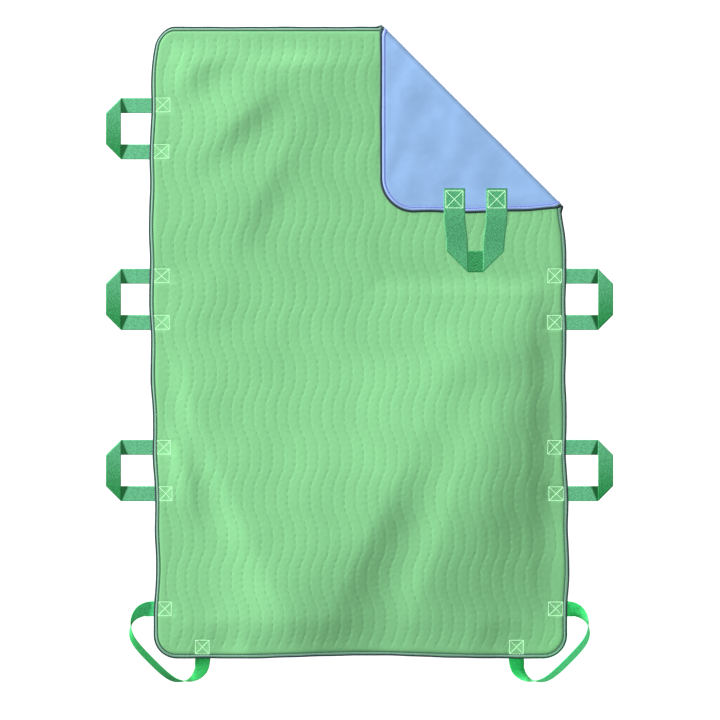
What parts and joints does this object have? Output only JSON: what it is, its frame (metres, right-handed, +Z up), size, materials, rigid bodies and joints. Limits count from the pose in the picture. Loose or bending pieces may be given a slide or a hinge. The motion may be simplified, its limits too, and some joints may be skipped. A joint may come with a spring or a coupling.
{
  "type": "positioning bed pad with handles",
  "caption": "Quilted waterproof positioning bed pad with webbing loop handles round its edge, lying flat with one head corner folded over to show its backing.",
  "frame": {"origin": "middle of the footprint of the pad and its handles, on the surface it lies on", "axes": "+X across the pad towards the folded corner's side, +Y along the pad from foot to head, +Z up from the bed"},
  "size_m": [1.058, 1.3694, 0.032],
  "materials": {
    "facing": "matte",
    "backing": "satin",
    "film": "satin",
    "core": "matte",
    "edge_thread": "matte",
    "hem_thread": "matte",
    "box_thread": "satin",
    "webbing": "matte",
    "foot_webbing": "matte"
  },
  "bodies": {
    "pad": {"backing_sheet": "backing", "barrier_film": "film", "edge_overlock": "edge_thread", "facing_sheet": "facing", "foot_left_handle_foot_box_stitch": "box_thread", "foot_left_handle_foot_sewn_end": "webbing", "foot_left_handle_side_box_stitch": "box_thread", "foot_left_handle_side_sewn_end": "webbing", "foot_right_handle_foot_box_stitch": "box_thread", "foot_right_handle_foot_sewn_end": "webbing", "foot_right_handle_side_box_stitch": "box_thread", "foot_right_handle_side_sewn_end": "webbing", "hem_topstitch": "hem_thread", "left_head_handle_first_box_stitch": "box_thread", "left_head_handle_first_sewn_end": "webbing", "left_head_handle_second_box_stitch": "box_thread", "left_head_handle_second_sewn_end": "webbing", "left_lower_handle_first_box_stitch": "box_thread", "left_lower_handle_first_sewn_end": "webbing", "left_lower_handle_second_box_stitch": "box_thread", "left_lower_handle_second_sewn_end": "webbing", "left_middle_handle_first_box_stitch": "box_thread", "left_middle_handle_first_sewn_end": "webbing", "left_middle_handle_second_box_stitch": "box_thread", "left_middle_handle_second_sewn_end": "webbing", "right_lower_handle_first_box_stitch": "box_thread", "right_lower_handle_first_sewn_end": "webbing", "right_lower_handle_second_box_stitch": "box_thread", "right_lower_handle_second_sewn_end": "webbing", "right_middle_handle_first_box_stitch": "box_thread", "right_middle_handle_first_sewn_end": "webbing", "right_middle_handle_second_box_stitch": "box_thread", "right_middle_handle_second_sewn_end": "webbing", "soaker_core": "core"},
    "corner_flap": {"corner_handle_first_box_stitch": "box_thread", "corner_handle_first_sewn_end": "webbing", "corner_handle_second_box_stitch": "box_thread", "corner_handle_second_sewn_end": "webbing", "flap_backing_sheet": "backing", "flap_barrier_film": "film", "flap_edge_overlock": "edge_thread", "flap_facing_sheet": "facing", "flap_hem_topstitch": "hem_thread", "flap_soaker_core": "core"},
    "corner_handle": {"corner_handle_loop": "webbing"},
    "foot_left_handle": {"foot_left_handle_loop": "foot_webbing"},
    "foot_right_handle": {"foot_right_handle_loop": "foot_webbing"},
    "left_head_handle": {"left_head_handle_loop": "webbing"},
    "left_lower_handle": {"left_lower_handle_loop": "webbing"},
    "left_middle_handle": {"left_middle_handle_loop": "webbing"},
    "right_lower_handle": {"right_lower_handle_loop": "webbing"},
    "right_middle_handle": {"right_middle_handle_loop": "webbing"}
  },
  "joints": [
    {"name": "corner_fold", "type": "hinge", "parent": "pad", "child": "corner_flap", "pos_m": [0.237, 0.4897, 0.00765], "axis": [-0.7071, 0.7071, 0], "range_deg": [0, 180]},
    {"name": "left_head_handle_swing", "type": "hinge", "parent": "pad", "child": "left_head_handle", "pos_m": [-0.4335, 0.4717, 0.0048], "axis": [0, 1, 0], "range_deg": [0, 170]},
    {"name": "left_middle_handle_swing", "type": "hinge", "parent": "pad", "child": "left_middle_handle", "pos_m": [-0.4335, 0.1147, 0.0048], "axis": [0, 1, 0], "range_deg": [0, 170]},
    {"name": "left_lower_handle_swing", "type": "hinge", "parent": "pad", "child": "left_lower_handle", "pos_m": [-0.4335, -0.2433, 0.0048], "axis": [0, 1, 0], "range_deg": [0, 170]},
    {"name": "right_middle_handle_swing", "type": "hinge", "parent": "pad", "child": "right_middle_handle", "pos_m": [0.4335, 0.1147, 0.0048], "axis": [0, -1, 0], "range_deg": [0, 170]},
    {"name": "right_lower_handle_swing", "type": "hinge", "parent": "pad", "child": "right_lower_handle", "pos_m": [0.4335, -0.2433, 0.0048], "axis": [0, -1, 0], "range_deg": [0, 170]},
    {"name": "corner_handle_swing", "type": "hinge", "parent": "corner_flap", "child": "corner_handle", "pos_m": [0.242, 0.2932, 0.0165], "axis": [-1, 0, 0], "range_deg": [0, 170]},
    {"name": "foot_left_handle_swing", "type": "hinge", "parent": "pad", "child": "foot_left_handle", "pos_m": [-0.38075, -0.58505, 0.0048], "axis": [-0.7071, 0.7071, 0], "range_deg": [0, 120]},
    {"name": "foot_right_handle_swing", "type": "hinge", "parent": "pad", "child": "foot_right_handle", "pos_m": [0.38075, -0.58505, 0.0048], "axis": [-0.7071, -0.7071, 0], "range_deg": [0, 120]}
  ]
}
